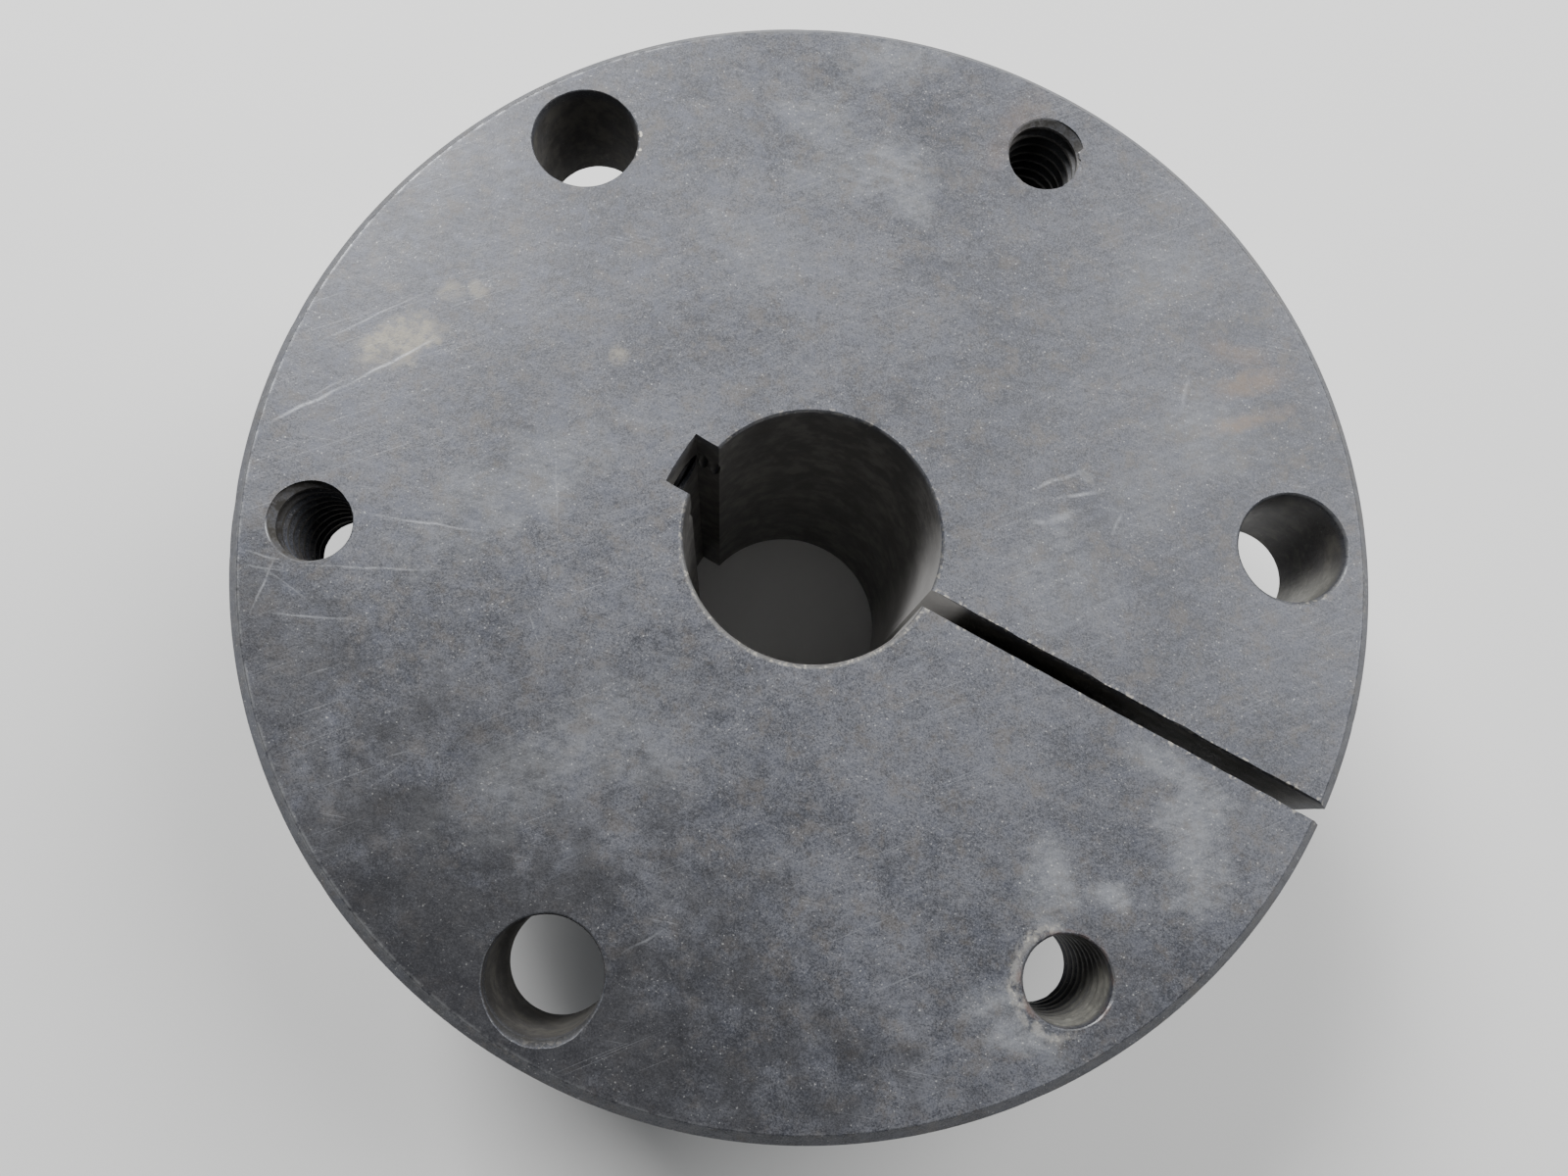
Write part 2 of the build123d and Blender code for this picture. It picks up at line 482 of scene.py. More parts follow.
class Graph:
    """A material's nodes, with short names for the ones used here."""

    def __init__(self, name):
        self.material = bpy.data.materials.new(name)
        self.material.use_nodes = True
        self.nodes = self.material.node_tree.nodes
        self.links = self.material.node_tree.links
        self.nodes.clear()
        coords = self.nodes.new("ShaderNodeTexCoord")
        scale = self.node("ShaderNodeVectorMath", {0: coords.outputs["Object"]}, operation="SCALE")
        scale.inputs["Scale"].default_value = 1 / MM
        self.place = scale.outputs[0]
        split = self.node("ShaderNodeSeparateXYZ", {0: self.place})
        self.x, self.y, self.z = (Field(self, split.outputs[i]) for i in range(3))
        self.r = self.math("SQRT", self.x * self.x + self.y * self.y)
        geometry = self.nodes.new("ShaderNodeNewGeometry")
        normal = self.node("ShaderNodeVectorTransform", {0: geometry.outputs["Normal"]},
                           vector_type="NORMAL", convert_from="WORLD", convert_to="OBJECT")
        split = self.node("ShaderNodeSeparateXYZ", {0: normal.outputs[0]})
        self.facing_up = Field(self, split.outputs[2])

    def node(self, kind, inputs, **settings):
        made = self.nodes.new(kind)
        for key, value in settings.items():
            setattr(made, key, value)
        for key, value in inputs.items():
            if isinstance(value, Field):
                value = value.socket
            if isinstance(value, bpy.types.NodeSocket):
                self.links.new(value, made.inputs[key])
            else:
                made.inputs[key].default_value = value
        return made

    def math(self, operation, *values, clamp=False):
        made = self.node("ShaderNodeMath", dict(enumerate(values)), operation=operation)
        made.use_clamp = clamp
        return Field(self, made.outputs[0])

    def clamp(self, value):
        return self.math("ADD", value, 0.0, clamp=True)

    def highest(self, values):
        """The greatest of some values. A generator's nodes are made one value at a time."""
        top = 0.0
        for value in values:
            top = self.math("MAXIMUM", top, value)
        return top

    def absolute(self, value):
        return self.math("ABSOLUTE", value)

    def towards(self, angle):
        """How far a point lies from the axis in the direction `angle`, in millimetres."""
        return self.x * cos(radians(angle)) + self.y * sin(radians(angle))

    def ramp(self, value, low, high):
        """0 below `low` and 1 above `high`, eased, or the other way when low > high."""
        flipped = low > high
        made = self.node("ShaderNodeMapRange", {"Value": value, "From Min": min(low, high),
                         "From Max": max(low, high), "To Min": 1.0 if flipped else 0.0,
                         "To Max": 0.0 if flipped else 1.0}, interpolation_type="SMOOTHSTEP")
        return Field(self, made.outputs["Result"])

    def stretch(self, scale, angle=0.0, shift=(0, 0, 0)):
        """Millimetre coordinates turned about Z, then scaled."""
        turned = self.node("ShaderNodeMapping", {"Vector": self.place, "Location": shift,
                           "Rotation": (0, 0, radians(angle))})
        scaled = self.node("ShaderNodeVectorMath", {0: turned.outputs[0], 1: scale},
                           operation="MULTIPLY")
        return scaled.outputs[0]

    def noise(self, size, detail=3.0, rough=0.5, where=None):
        """Noise about 0.5, with blotches about `size` millimetres across."""
        made = self.node("ShaderNodeTexNoise", {"Vector": where or self.place, "Scale": 1 / size,
                         "Detail": detail, "Roughness": rough})
        return Field(self, made.outputs["Fac"])

    def mix(self, factor, under, over):
        """One colour over another by a factor."""
        made = self.nodes.new("ShaderNodeMix")
        made.data_type = "RGBA"
        for index, value in ((0, factor), (6, under), (7, over)):
            socket = made.inputs[index]
            if isinstance(value, Field):
                value = value.socket
            if isinstance(value, bpy.types.NodeSocket):
                self.links.new(value, socket)
            elif isinstance(value, tuple):
                socket.default_value = (*value, 1.0)
            else:
                socket.default_value = value
        return made.outputs[2]

    def finish(self, color, roughness, metallic, height, relief):
        """Joins the Principled shader. `height` is in millimetres and `relief` scales it."""
        bump = self.node("ShaderNodeBump", {"Height": height, "Strength": 1.0,
                         "Distance": MM * relief})
        shader = self.node("ShaderNodeBsdfPrincipled", {"Base Color": color, "Roughness": roughness,
                           "Metallic": metallic, "Normal": bump.outputs[0]})
        out = self.nodes.new("ShaderNodeOutputMaterial")
        self.links.new(shader.outputs[0], out.inputs["Surface"])
        return shader


# ---------------------------------------------------------------------------------------------
# The iron
# ---------------------------------------------------------------------------------------------
COAT_DARK = (0.024, 0.026, 0.033)
COAT_LIGHT = (0.112, 0.115, 0.130)
SHADE = (0.018, 0.018, 0.020)
SCUFF = (0.30, 0.31, 0.325)
BLUE_TINGE = (0.080, 0.088, 0.118)
BROWN_TINGE = (0.098, 0.085, 0.070)
SPECK = (0.38, 0.38, 0.37)
PALE_RUST = (0.205, 0.188, 0.152)
RED_RUST = (0.120, 0.070, 0.052)
STAIN = (0.175, 0.120, 0.075)
SCRATCHED = (0.34, 0.35, 0.37)
WORN_EDGE = (0.30, 0.305, 0.31)
WORN_FOOT = (0.30, 0.30, 0.30)
LIP_DUST = (0.42, 0.395, 0.34)
BORE_LIP = (0.42, 0.40, 0.35)
CRUST = (0.30, 0.285, 0.25)
HOLE_BROWN = (0.052, 0.045, 0.035)
HOLE_DUST = (0.180, 0.172, 0.142)
# Dust with painted light on two holes' lit walls
WALL_DUST_AND_LIGHT = (0.270, 0.268, 0.238)
# Painted shade in holes, on a tapped hole's shaded side and at two mouths (this and the next)
HOLE_SHADE = (0.013, 0.012, 0.010)
MOUTH_SHADE = (0.026, 0.023, 0.018)
THREAD_PAINTED_LIGHT = (0.36, 0.36, 0.35)
# Painted light in the bright tapped hole and in the bore (this and the next)
BORE_PAINTED_LIGHT = (0.56, 0.55, 0.54)
STREAK = (0.21, 0.212, 0.215)

# Marks on the flange's face. Patches are (x, y, half width, half height, angle, strength, softness),
# scratches (x0, y0, x1, y1, half width, strength) and chips (x, y, half width, angle), in
# millimetres and degrees.
PALE_SCUFFS = (
    (-18.5, 34.0, 3.4, 2.6, 0, 0.5), (-11.5, 33.5, 4.6, 2.4, 20, 0.7),
    (-8.0, 31.5, 2.0, 1.7, 0, 0.7), (-16.5, 29.5, 3.0, 2.2, 0, 0.35),
    (-17.0, 43.0, 4.6, 2.0, 25, 0.6), (-23.5, -9.0, 8.5, 3.0, 60, 0.55),
    (21.0, 8.0, 4.0, 5.0, 20, 0.40), (23.0, 18.0, 2.8, 4.0, 0, 0.3),
    (40.5, -5.5, 4.6, 2.6, -60, 0.85), (36.0, -1.5, 3.6, 1.2, 0, 0.75),
    (31.5, -14.5, 1.6, 2.6, 30, 0.8), (36.5, -13.2, 1.5, 0.9, 0, 1.0),
    (35.5, -26.4, 3.0, 1.4, 10, 0.8), (32.0, -25.6, 2.0, 1.6, 40, 0.8),
    (32.3, -17.2, 1.6, 1.2, 0, 0.6), (-8.5, -27.5, 3.0, 9.0, -25, 0.40),
    (-4.0, -23.5, 7.0, 2.6, 25, 0.34), (15.0, 37.5, 3.4, 2.8, 40, 0.4),
    (26.0, 26.5, 4.4, 3.4, 40, 0.5), (-17.5, 20.0, 4.4, 2.8, 0, 0.3),
    (17.9, 17.3, 0.9, 0.35, -10, 0.7, 0.5), (18.3, 11.6, 0.9, 0.5, 30, 0.5, 0.5),
    (20.5, 8.5, 3.4, 2.4, 0, 0.45),
)
# Painted shade: the three broad patches darken the face where the light falls off towards -Y; the
# small one at (40, -20.5) darkens it there.
SHADE_PATCHES = (
    (-2.0, -47.0, 32.0, 17.0, -6, 1.0, 0.8), (-14.0, -27.0, 14.0, 9.0, 20, 0.34, 0.9),
    (40.0, -20.5, 3.5, 5.0, 0, 0.4), (-32.0, -33.0, 10.0, 6.0, -42, 0.65, 0.8),
)
RUST_SPOTS = (
    (-39.7, -3.4, 3.4, 1.9, 42, 0.9, 0.45), (-22.7, 5.2, 0.8, 0.8, 0, 0.6),
    (-38.2, 2.5, 1.0, 0.8, 20, 0.5, 0.6), (-36.3, 3.8, 0.8, 0.6, 0, 0.5, 0.6),
)
BROWN_STAINS = (
    (26.5, 32.5, 2.6, 0.9, 45, 0.4), (28.0, 29.5, 3.0, 0.7, 45, 0.45),
    (23.5, 34.5, 2.6, 0.9, 20, 0.3), (-3.4, 43.2, 1.8, 3.4, -10, 0.24),
)
SCRATCHES = (
    (-45.4, -17.2, -40.0, -8.0, 0.24, 0.9), (-41.6, -10.8, -36.0, -0.4, 0.20, 0.9),
    (-43.6, -13.0, -40.6, -8.0, 0.12, 0.4), (-46.0, -9.0, -39.0, 3.0, 0.14, 0.45),
    (-34.4, -18.6, -22.5, -13.6, 0.16, 0.8), (-36.6, -25.2, -23.5, -18.0, 0.15, 0.6),
    (-40.4, -26.0, -35.6, -24.6, 0.14, 0.6), (-39.8, -27.1, -35.4, -25.4, 0.14, 0.6),
    (-37.3, -24.4, -36.2, -30.4, 0.16, 0.7), (-36.6, -29.9, -27.0, -25.2, 0.14, 0.6),
    (-41.0, -26.0, -30.0, -26.8, 0.12, 0.3), (-20.6, -34.5, -17.8, -31.8, 0.12, 0.35),
    (-19.6, -36.4, -18.4, -33.0, 0.12, 0.3), (-17.2, -17.6, -14.0, -20.4, 0.12, 0.5),
    (7.5, -32.5, 4.0, -38.0, 0.15, 0.4), (13.8, 13.0, 17.8, 18.0, 0.30, 0.60),
    (16.0, 13.7, 20.4, 17.2, 0.28, 0.55), (16.2, 10.8, 19.2, 14.8, 0.55, 0.45),
    (15.4, 11.0, 17.4, 11.9, 0.40, 0.40), (22.1, 16.2, 22.3, 13.6, 0.26, 0.5),
    (21.0, 31.5, 22.6, 26.5, 0.30, 0.3), (-24.0, -3.0, -17.0, -13.0, 0.12, 0.3),
    (-30.0, -32.5, -27.0, -29.0, 0.12, 0.4),
)
DUSTY_LIPS = (
    (40.5, 17.6, 4.0, 2.4, 40, 0.8, 0.8), (2.0, 38.0, 3.0, 3.0, 0, 0.8, 0.8),
    (2.0, -46.6, 5.0, 1.6, 15, 0.3, 0.8),
)
CHIPS = ((-32.2, 24.2, 0.5, 30), (-31.5, 22.6, 0.55, 80), (-31.4, 21.6, 0.35, 0))
DUST_AND_LIGHT_WALLS = ((41.2, 19.2), (39.4, -22.2))

# Holes on the bolt circle by angle, and how strongly painted shade darkens each inside or at its
# mouth
SHADED_HOLES = ((210, 0.12), (150, 0.26), (270, 0.90))
SHADED_MOUTHS = ((90, 0.80), (210, 0.92))
BRIGHT_TAP = 90
CRUSTED_TAP = 330
RIDGE_SPACING = 0.42  # of the lathe's marks on the outside, in millimetres


class IronGraph(Graph):
    """The iron's graph: what its layers share, and the colour as laid so far."""

    def __init__(self):
        super().__init__("phosphated_iron")

        # A face point as (x, y, 1) with a little jitter, and noise for the edges of patches
        flat = self.node("ShaderNodeVectorMath", {0: self.place, 1: (1, 1, 0), 2: (0, 0, 1)},
                         operation="MULTIPLY_ADD")
        jitter = self.node("ShaderNodeTexNoise", {"Vector": self.place, "Scale": 1 / 2.0,
                           "Detail": 0.0})
        shift = self.node("ShaderNodeVectorMath", {0: jitter.outputs["Color"], 1: (0.30, 0.30, 0.0)},
                          operation="MULTIPLY")
        shifted = self.node("ShaderNodeVectorMath", {0: flat.outputs[0], 1: shift.outputs[0]},
                            operation="ADD")
        self.flat_place = shifted.outputs[0]
        self.wander = (self.noise(4.5, 3.0, 0.72) - 0.5) * 3.0
        self.on_face = self.ramp(self.facing_up, 0.75, 0.95) * self.ramp(self.z, TOP - 0.8, TOP - 0.3)

        # Blotches of several sizes, and grain
        self.broad = self.noise(22, 2.0, 0.5)
        self.cloudy = self.noise(6.0, 4.0, 0.70)
        self.mottle = self.noise(1.1, 3.0, 0.7)
        self.fine = self.noise(0.14, 1.0, 0.8)
        self.drawn = (self.noise(1.0, 2.0, 0.7, self.stretch((1 / 4, 1 / 0.45, 1 / 2), -52))
                      + self.noise(1.0, 2.0, 0.7,
                                   self.stretch((1 / 3, 1 / 0.4, 1 / 2), -18, (9, 4, 0)))) * 0.5
        self.broken = self.ramp(self.mottle, 0.36, 0.58)
        self.dots = self.ramp(self.noise(0.45, 1.0, 0.6), 0.56, 0.66)
        self.color = COAT_DARK

    def lay(self, factor, over):
        """Lays a colour over what is there, by a factor."""
        self.color = self.mix(factor, self.color, over)

    def weighed(self, weights):
        """The sum of a face point's x, y and 1, each times its weight."""
        made = self.node("ShaderNodeVectorMath", {0: self.flat_place, 1: weights},
                         operation="DOT_PRODUCT")
        return Field(self, made.outputs["Value"])

    def oval(self, x, y, wide, tall, angle):
        """0 at (x, y) on the face and 1 on an oval round it, growing outwards."""
        c, s = cos(radians(angle)), sin(radians(angle))
        along = self.weighed((c / wide, s / wide, -(x * c + y * s) / wide))
        across = self.weighed((-s / tall, c / tall, (x * s - y * c) / tall))
        return self.math("SQRT", self.math("MULTIPLY_ADD", along, along, across * across))

    def fade(self, value, full, none, strength):
        """`strength` where the value is `full` or less, easing to 0 at `none`."""
        made = self.node("ShaderNodeMapRange", {"Value": value, "From Min": full, "From Max": none,
                         "To Min": strength, "To Max": 0.0}, interpolation_type="SMOOTHSTEP")
        return Field(self, made.outputs["Result"])

    def blot(self, x, y, wide, tall, angle=0.0, strength=1.0, edge=0.7):
        """A soft oval on the face, whose edge wanders with the cloud noise."""
        wavy = self.oval(x, y, wide, tall, angle) + self.wander
        return self.fade(wavy, 1 - edge, 1 + edge, strength)

    def scratch(self, x0, y0, x1, y1, width, strength):
        """A thin tapering mark between two points on the face."""
        half = hypot(x1 - x0, y1 - y0) / 2
        slant = degrees(atan2(y1 - y0, x1 - x0))
        from_middle = self.oval((x0 + x1) / 2, (y0 + y1) / 2, half, width, slant)
        return self.fade(from_middle, 0.0, 1.0, strength)

    def at_hole(self, angle, strength=1.0):
        """`strength` in the bolt circle's hole at this angle, easing to 0 just outside it."""
        return self.fade(self.oval(*polar(BOLT_R, angle), 1.0, 1.0, 0), 4.6, 5.8, strength)

    def past_hole(self, hole_angle, angle):
        """How far a point lies from a hole's axis in the direction `angle`, in millimetres."""
        return self.towards(angle) - polar(BOLT_R, hole_angle - angle)[0]


def lay_coating(g):
    """The blotchy coating, its scuffs, and dark patches that paint shade where the light falls off.
    Returns where it is pale and dark.
    """
    tone = ((g.broad - 0.5) * 0.65 + (g.cloudy - 0.5) * 0.90 + (g.mottle - 0.5) * 0.42
            + (g.fine - 0.5) * 1.7 + (g.drawn - 0.5) * 0.80 + 0.46)
    pale = g.highest(g.blot(*patch) for patch in PALE_SCUFFS) * g.on_face
    pale = pale * (0.45 + g.ramp(g.drawn, 0.38, 0.62) * 0.35 + g.ramp(g.mottle, 0.35, 0.65) * 0.35)
    dark = g.highest(g.blot(*patch) for patch in SHADE_PATCHES) * g.on_face
    g.lay(g.ramp(tone, -0.05, 1.0), COAT_LIGHT)
    # Painted shade: the face darkened where the light falls off towards -Y
    g.lay(dark * 0.8, SHADE)
    g.lay(pale * 0.42, SCUFF)
    return pale, dark


def lay_specks(g, pale, dark):
    """Blue and brown tinges, and pale specks."""
    specks = (g.ramp(g.noise(0.20, 0.0), 0.70, 0.82)
              * (g.ramp(g.drawn, 0.48, 0.60) + 0.15 + pale * 0.5) * (1 - dark * 0.5))
    tinge = g.noise(2.6, 3.0, 0.8, g.stretch((1, 1, 1), 0, (31, 7, 3)))
    brown, blue = g.ramp(tinge, 0.50, 0.68), g.ramp(tinge, 0.50, 0.34) * (1 - dark)
    g.lay(blue * (0.20 + g.ramp(g.x, 10, -40) * 0.16), BLUE_TINGE)
    g.lay(brown * (0.36 - dark * 0.28), BROWN_TINGE)
    g.lay(specks * 0.6, SPECK)


def lay_stains(g):
    """Rust and brown stains by place, broken up by the mottling."""
    rust = g.highest(g.blot(*patch) for patch in RUST_SPOTS)
    tint = g.highest(g.blot(*patch) for patch in BROWN_STAINS)
    g.lay(rust * g.on_face * (0.25 + g.broken * 0.75), PALE_RUST)
    tint = tint * g.ramp(g.z, TOP - 3.0, TOP - 1.2) * g.ramp(g.r, FLANGE_R, FLANGE_R - 0.5)
    g.lay(tint * (0.5 + g.broken * 0.5), STAIN)


def lay_scratches(g):
    """Scratches by place, and a web of fine ones. Returns where they are."""
    cuts = g.highest(g.scratch(*mark) for mark in SCRATCHES) * g.on_face
    web = 0.0
    for angle, size, where in ((-52, 0.10, g.ramp(g.broad, 0.45, 0.56)),
                               (-20, 0.09, g.ramp(g.cloudy, 0.52, 0.62))):
        thin = g.noise(1.0, 1.0, 0.5, g.stretch((1 / 12, 1 / size, 1 / 8), angle, (13, 7, 0)))
        web = g.ramp(thin, 0.66, 0.76) * where + web
    scratches = g.clamp(cuts * g.ramp(g.mottle, 0.26, 0.50) + web * 0.35 * g.on_face)
    g.lay(scratches * 0.55, SCRATCHED)
    return scratches


def lay_edges(g):
    """The face's rounded edges, rubbed through. Returns the edges and where they are rubbed."""
    edge = (g.ramp(g.facing_up, 0.985, 0.90) * g.ramp(g.facing_up, 0.10, 0.45)
            * g.ramp(g.z, TOP - 1.2, TOP - 0.3))
    at_rim = g.ramp(g.r, FLANGE_R - 1.6, FLANGE_R - 1.2)
    rim_side = g.ramp(g.towards(195), -10, 40)
    rim_line = (g.ramp(g.absolute(g.r - (FLANGE_R - 1.05)), 0.30, 0.04) * (0.25 + rim_side * 0.75)
                * g.ramp(g.z, TOP - 0.9, TOP - 0.25))
    at_dim_hole = g.fade(g.oval(*polar(BOLT_R, 270), 6.5, 6.5, 0), 0.8, 1.0, 0.7)
    worn = (g.highest((edge * (1 - at_rim * 0.75) * (1 - at_dim_hole), rim_line))
            * g.ramp(g.mottle, 0.36, 0.60))
    g.lay(worn * 0.42, WORN_EDGE)
    return edge, worn


def lay_lips(g, edge):
    """Dust on the lips of the split, the bore and some holes, and chips beside one."""
    from_split = g.absolute(g.y - g.x * tan(radians(SPLIT_ANGLE)))
    beside_split = g.ramp(from_split, SPLIT_HALF + 0.50, SPLIT_HALF)
    bore_lip = g.ramp(g.absolute(g.r - (BORE_R + 0.10)), 0.42, 0.12)
    dust = g.highest((beside_split * g.ramp(g.x, 10, 12),
                      bore_lip * (0.45 + g.ramp(g.towards(290), -2, 8) * 0.5)))
    for patch in DUSTY_LIPS:
        dust = g.math("MAXIMUM", dust, g.blot(*patch) * edge)
    for x, y, half, angle in CHIPS:
        dust = g.math("MAXIMUM", dust, g.fade(g.oval(x, y, half, half * 0.7, angle), 0.5, 1.0, 1.6))
    dust = dust * g.ramp(g.z, TOP - 1.0, TOP - 0.3) * g.dots
    g.lay(g.clamp(dust * 0.65), LIP_DUST)
    line = bore_lip * g.ramp(g.towards(285), 0, 9) * g.ramp(g.z, TOP - 0.8, TOP - 0.3)
    g.lay(line * (0.22 + g.dots * 0.20), BORE_LIP)


def lay_crust(g):
    """A crust round the worn tapped hole, and its rusty inner edge. Returns the crust."""
    from_hole = g.oval(*polar(BOLT_R, CRUSTED_TAP), 1.0, 1.0, 0)
    crust = (g.fade(g.absolute(from_hole - 4.3), 0.1, 0.8, 1.0)
             * g.ramp(g.past_hole(CRUSTED_TAP, 215), -2.0, 2.5)
             * g.ramp(g.mottle, 0.38, 0.56) * g.on_face)
    g.lay(crust * (0.35 + g.dots * 0.5), CRUST)
    rusty = g.fade(g.absolute(from_hole - 3.85), 0.08, 0.40, 1.0) * g.ramp(g.cloudy, 0.44, 0.56)
    g.lay(rusty * g.ramp(g.z, TOP - 1.0, TOP - 0.5) * 0.5, RED_RUST)
    return crust


def lay_hole_walls(g, walls, outside):
    """Walls of holes: browner and dusty in patches; painted shade in some holes and two mouths;
    painted light and shade on one tapped hole's threads; dust with painted light on two holes' lit
    walls;
    painted light on the bore's and keyway's walls. Returns where they are dulled, and where the
    bore's wall is."""
    holes = walls * g.ramp(g.z, TOP - 0.3, TOP - 1.6) * (1 - outside)
    dusty = g.ramp(g.noise(2.6, 3.0, 0.75), 0.42, 0.66)
    g.lay(holes * 0.6, HOLE_BROWN)
    g.lay(holes * dusty * 0.4, HOLE_DUST)
    # Dust with painted light: pale blots on the lit walls of the holes at 30 and 330 degrees
    dust_and_light = g.highest(g.fade(g.oval(x, y, 4.4, 4.4, 0), 0.5, 1.0, 1.0) for x, y in DUST_AND_LIGHT_WALLS)
    g.lay(dust_and_light * holes * (0.38 + dusty * 0.25 + g.dots * 0.25), WALL_DUST_AND_LIGHT)

    sunk = g.ramp(g.z, TOP - 0.03, TOP - 0.14)
    # Painted shade: three holes' walls darkened below the face, most where they face up
    shaded_walls = g.highest(g.at_hole(*hole) for hole in SHADED_HOLES)
    shaded_walls = shaded_walls * sunk * (0.5 + g.ramp(g.facing_up, 0.25, 0.55) * 0.5)
    g.lay(shaded_walls, HOLE_SHADE)
    shallow = g.ramp(g.z, TOP - 2.6, TOP - 1.6)
    # Painted shade: two tapped holes' mouths darkened just below the face, broken up by the mottling
    mouths = g.highest(g.at_hole(*hole) for hole in SHADED_MOUTHS)
    g.lay(mouths * sunk * shallow * (0.30 + g.broken * 0.70), MOUTH_SHADE)

    # Painted light and shade: the bright tapped hole's threads lightened on the side towards 31
    # degrees and darkened on the other
    bright_side = g.ramp(g.past_hole(BRIGHT_TAP, 31), 0.0, 3.4)
    threads = g.at_hole(BRIGHT_TAP) * sunk * (1 - shallow)
    g.lay(threads * (1 - bright_side) * 0.8, HOLE_SHADE)
    g.lay(threads * bright_side * 0.20, THREAD_PAINTED_LIGHT)
    dulled = g.highest((g.ramp(shaded_walls, 0.0, 0.05), threads * (1.0 - bright_side * 0.5)))

    # Painted light: the bore's and keyway's walls lightened, partly with dust, most on the bore's
    # side towards -20 degrees
    in_bore = g.ramp(g.r, BORE_R + 4.0, BORE_R + 2.5) * walls * g.ramp(g.z, 0.3, 0.6)
    lit_bore_side = g.ramp(g.towards(-20), 4.5, 9.5)
    g.lay(in_bore * (0.14 + dusty * 0.12 + lit_bore_side * 0.84), BORE_PAINTED_LIGHT)
    return dulled, in_bore


def lay_outside(g, outside):
    """Rubbed streaks round the turned outside, and worn low edges. Returns both kinds of streak."""
    streaks = g.noise(1.0, 3.0, 0.6, g.stretch((1 / 16, 1 / 16, 1 / 0.9)))
    rubbed = outside * g.ramp(streaks, 0.50, 0.72)
    g.lay(rubbed * 0.35, STREAK)
    back_edge = (g.ramp(g.absolute(g.z - (FLANGE_BACK + 0.2)), 0.9, 0.2)
                 * g.ramp(g.r, TAPER_R + 2, TAPER_R + 4))
    foot_wear = outside * g.highest((g.ramp(g.z, 2.6, 0.8), back_edge)) * g.ramp(g.mottle, 0.40, 0.60)
    g.lay(foot_wear * 0.5, WORN_FOOT)
    return streaks, rubbed


def iron():
    """Phosphated iron: dark, matte and blotchy, with pale scuffs, rust spots and worn edges, and
    painted light and shade on the face and in the holes.
    """
    g = IronGraph()
    pale, dark = lay_coating(g)
    lay_specks(g, pale, dark)
    lay_stains(g)
    scratches = lay_scratches(g)
    edge, worn = lay_edges(g)
    lay_lips(g, edge)
    crust = lay_crust(g)

    # Where a wall is the outside's, not a hole's: the rim, and the barrel under the flange
    walls = g.ramp(g.facing_up, 0.5, 0.2)
    on_barrel = g.ramp(g.r - g.z * TAPER_SLOPE, BARREL_FOOT_R - 0.5, BARREL_FOOT_R - 0.25)
    outside = g.highest((g.ramp(g.r, FLANGE_R - 1.2, FLANGE_R - 0.8),
                         on_barrel * g.ramp(g.z, FLANGE_BACK + 0.3, FLANGE_BACK - 0.1))) * walls
    dulled, in_bore = lay_hole_walls(g, walls, outside)
    streaks, rubbed = lay_outside(g, outside)

    ridges = g.math("SINE", g.z * (2 * pi / RIDGE_SPACING))
    rough = (0.49 + (g.cloudy - 0.5) * 0.30 + (g.mottle - 0.5) * 0.2 + (g.fine - 0.5) * 0.2
             + pale * 0.14 - worn * 0.10 - scratches * 0.1 - in_bore * 0.08 - dark * 0.05
             - rubbed * 0.08 + dulled * 0.42)
    metallic = (0.22 + worn * 0.4 + scratches * 0.2 + in_bore * 0.2 - dark * 0.1 + rubbed * 0.3
                - crust * 0.2 - dulled * 0.15)
    height = ((g.mottle - 0.5) * 0.020 + (g.fine - 0.5) * 0.010 + ridges * outside * 0.0035
              + (streaks - 0.5) * outside * 0.02)
    g.finish(g.color, g.clamp(rough), g.clamp(metallic), height, 1.0)
    return g.material


# ---------------------------------------------------------------------------------------------
# The set screw's steel
# ---------------------------------------------------------------------------------------------
def black_steel():
    """Black oxide alloy steel, with rubbed thread crests and a little rust."""
    g = Graph("black_oxide_steel")
    cloudy = g.noise(1.8, 4.0, 0.6)
    fine = g.noise(0.15, 3.0, 0.65)
    dy, dz = g.y, g.z - SCREW_HEIGHT
    from_axis = g.math("SQRT", dy * dy + dz * dz)
    crest = g.ramp(from_axis, SCREW_CREST - 0.16, SCREW_CREST - 0.02)
    rubbed = crest * g.ramp(g.noise(0.9, 3.0), 0.35, 0.65)
    tone = (cloudy - 0.5) * 0.8 + (fine - 0.5) * 0.5 + 0.5
    color = g.mix(g.ramp(tone, 0.1, 0.9), (0.018, 0.018, 0.020), (0.055, 0.055, 0.060))
    color = g.mix(rubbed * 0.55, color, (0.30, 0.30, 0.31))
    rust = g.ramp(g.noise(0.8, 4.0, 0.7, g.stretch((1, 1, 1), 0, (5, 9, 2))), 0.60, 0.70)
    color = g.mix(rust * 0.5, color, (0.13, 0.065, 0.03))
    rough = 0.38 + (cloudy - 0.5) * 0.2 + rust * 0.3 - rubbed * 0.08
    metallic = 0.75 - rust * 0.6
    height = (fine - 0.5) * 0.008 + (cloudy - 0.5) * 0.01 + rust * 0.006
    g.finish(color, g.clamp(rough), g.clamp(metallic), height, 1.0)
    return g.material


# ---------------------------------------------------------------------------------------------
# Camera, floor and lights
# ---------------------------------------------------------------------------------------------
CAMERA_PLACE = (0.0058, -0.0247, 0.14992)
CAMERA_TURN = (10.975, -2.95, 30.807)  # degrees about X, Y and Z
FLOOR_HALF = 1.6


def add_camera():
    """The camera, close above the flange's face at the photograph's viewing angle."""
    data = bpy.data.cameras.new("camera")
    camera = bpy.data.objects.new("camera", data)
    camera.location = CAMERA_PLACE
    camera.rotation_euler = Euler([radians(turned) for turned in CAMERA_TURN])
    data.sensor_width = 36
    data.lens = 27.81
    data.clip_start = 0.005
    bpy.context.scene.collection.objects.link(camera)
    bpy.context.scene.camera = camera


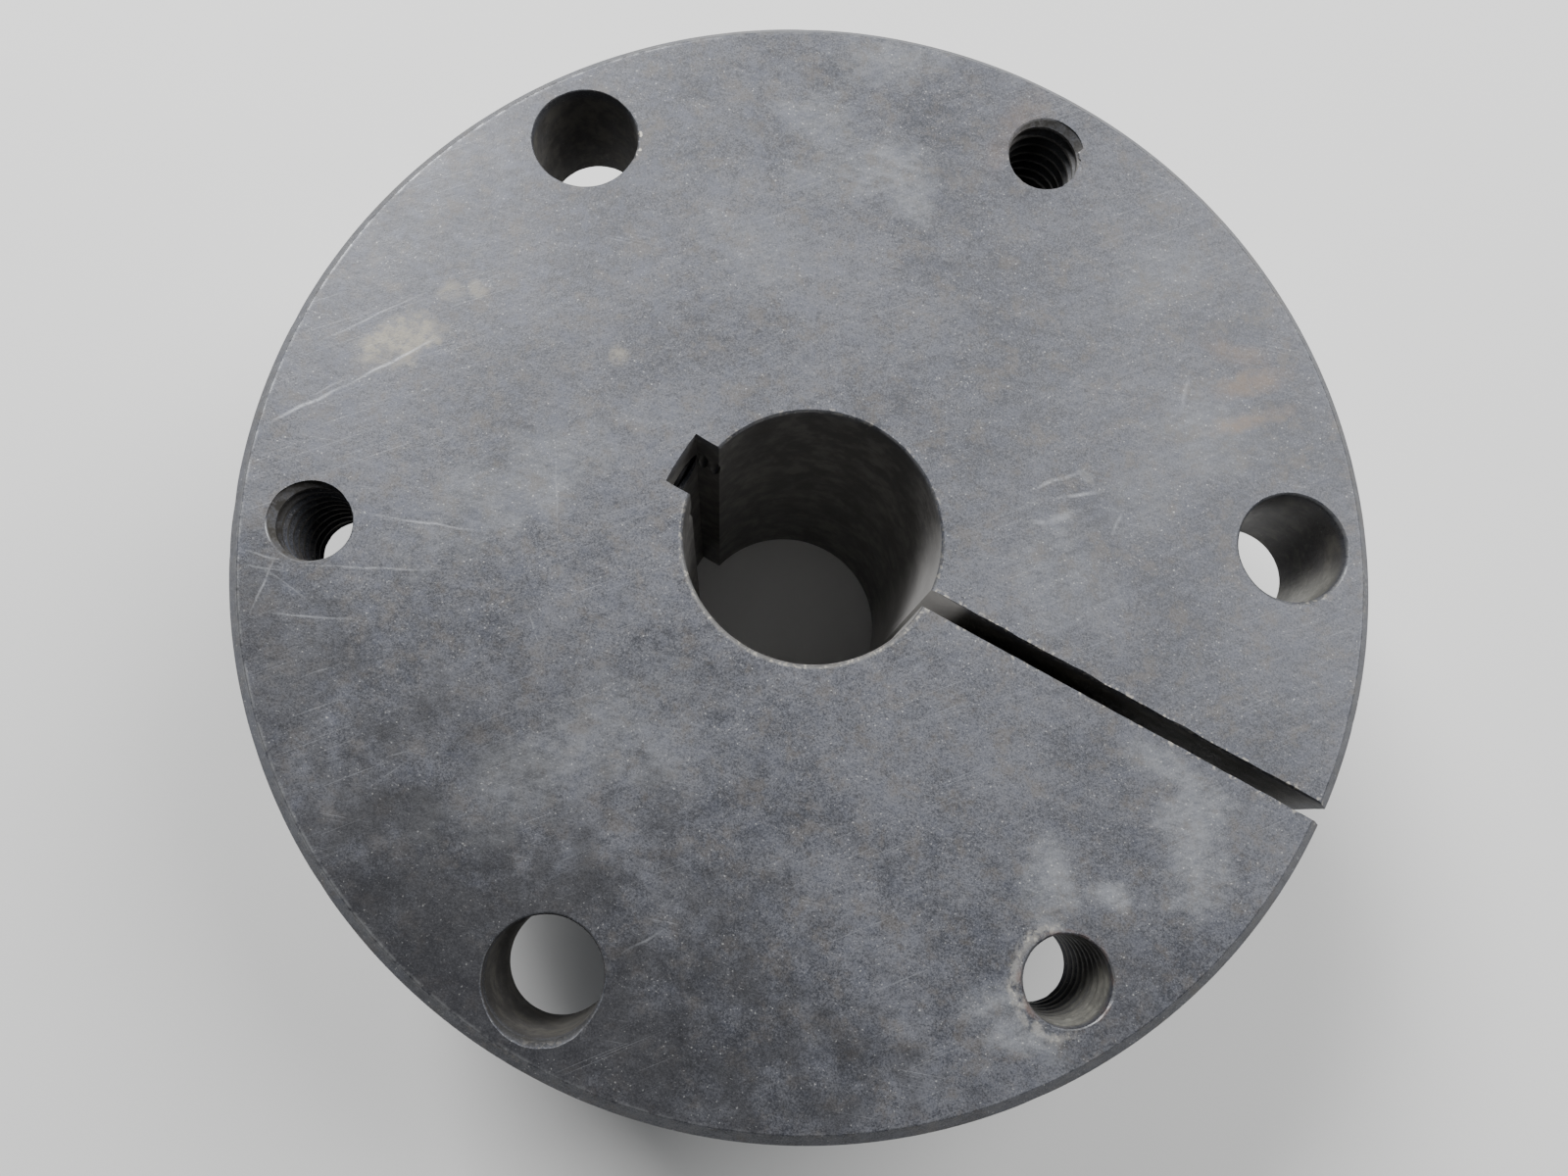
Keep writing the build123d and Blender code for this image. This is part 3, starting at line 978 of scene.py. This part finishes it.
def add_floor():
    """A plain pale floor, a little uneven in tone."""
    half = FLOOR_HALF
    mesh = bpy.data.meshes.new("floor")
    corners = [(-half, -half, 0), (half, -half, 0), (half, half, 0), (-half, half, 0)]
    mesh.from_pydata(corners, [], [(0, 1, 2, 3)])
    floor_object = bpy.data.objects.new("floor", mesh)
    bpy.context.scene.collection.objects.link(floor_object)
    g = Graph("floor_material")
    tone = g.noise(60, 3.0, 0.5)
    color = g.mix(tone, (0.70, 0.70, 0.695), (0.76, 0.76, 0.75))
    g.finish(color, 0.7, 0.0, g.noise(0.6, 2.0) * 0.01, 1.0)
    mesh.materials.append(g.material)


def add_area_light(name, angle, elevation, distance, size, power, aim=(0, 0, TOP * MM)):
    """A square soft light on a dome about the bushing."""
    data = bpy.data.lights.new(name, "AREA")
    data.shape = "SQUARE"
    data.size = size
    data.energy = power
    light = bpy.data.objects.new(name, data)
    out, up = distance * cos(radians(elevation)), distance * sin(radians(elevation))
    light.location = (out * cos(radians(angle)), out * sin(radians(angle)), up + aim[2])
    light.rotation_euler = (Vector(aim) - light.location).to_track_quat("-Z", "Y").to_euler()
    bpy.context.scene.collection.objects.link(light)


def add_lights():
    """A key light, a broader one that gives the face its sheen, and a dim cool sky."""
    add_area_light("key", angle=152, elevation=46, distance=0.55, size=0.20, power=4.7)
    add_area_light("sheen", angle=64, elevation=50, distance=0.55, size=0.34, power=3.6)
    world = bpy.data.worlds.new("studio")
    world.use_nodes = True
    background = world.node_tree.nodes["Background"]
    background.inputs["Color"].default_value = (0.93, 0.96, 1.0, 1)
    background.inputs["Strength"].default_value = 0.13
    bpy.context.scene.world = world


# ---------------------------------------------------------------------------------------------
# The scene
# ---------------------------------------------------------------------------------------------
add_camera()
add_floor()
add_lights()

bushing = make_bushing()
bushing.data.materials.clear()
bushing.data.materials.append(iron())
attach(bushing, "bushing")
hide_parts("split_bushing")

set_screw = make_set_screw()
set_screw.data.materials.clear()
set_screw.data.materials.append(black_steel())
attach(set_screw, "set_screw")
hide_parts("key_set_screw")
